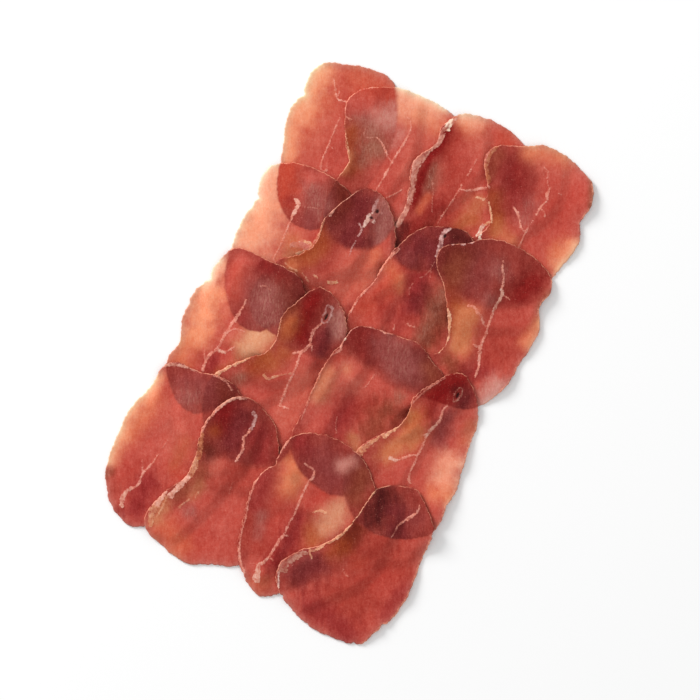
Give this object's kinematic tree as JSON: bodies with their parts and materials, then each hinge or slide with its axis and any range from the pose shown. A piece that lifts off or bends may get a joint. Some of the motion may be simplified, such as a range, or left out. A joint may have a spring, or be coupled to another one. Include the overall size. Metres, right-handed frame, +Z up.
{
  "type": "sliced cured beef",
  "caption": "Flat sheet of thin cured-beef slices laid like roof tiles, each lapping its left neighbour and the row above.",
  "frame": {"origin": "on the table, under the middle of the sheet's bounding box", "axes": "+X across the sheet along its rows, +Y along its length towards the first row laid, +Z up off the table"},
  "size_m": [0.167, 0.2684, 0.0079],
  "materials": {
    "slice_r1c1": "moist lean meat, faint sheen",
    "slice_r1c2": "moist lean meat, faint sheen",
    "slice_r1c3": "moist lean meat, faint sheen",
    "slice_r1c4": "moist lean meat, faint sheen",
    "slice_r2c1": "moist lean meat, faint sheen",
    "slice_r2c2": "moist lean meat, faint sheen",
    "slice_r2c3": "moist lean meat, faint sheen",
    "slice_r2c4": "moist lean meat, faint sheen",
    "slice_r3c1": "moist lean meat, faint sheen",
    "slice_r3c2": "moist lean meat, faint sheen",
    "slice_r3c3": "moist lean meat, faint sheen",
    "slice_r3c4": "moist lean meat, faint sheen",
    "slice_r4c1": "moist lean meat, faint sheen",
    "slice_r4c2": "moist lean meat, faint sheen",
    "slice_r4c3": "moist lean meat, faint sheen",
    "slice_r4c4": "moist lean meat, faint sheen"
  },
  "bodies": {
    "root": {"slice_r1c1": "slice_r1c1", "slice_r1c2": "slice_r1c2", "slice_r1c3": "slice_r1c3", "slice_r1c4": "slice_r1c4", "slice_r2c1": "slice_r2c1", "slice_r2c2": "slice_r2c2", "slice_r2c3": "slice_r2c3", "slice_r2c4": "slice_r2c4", "slice_r3c1": "slice_r3c1", "slice_r3c2": "slice_r3c2", "slice_r3c3": "slice_r3c3", "slice_r3c4": "slice_r3c4", "slice_r4c1": "slice_r4c1", "slice_r4c2": "slice_r4c2", "slice_r4c3": "slice_r4c3", "slice_r4c4": "slice_r4c4"}
  },
  "joints": []
}
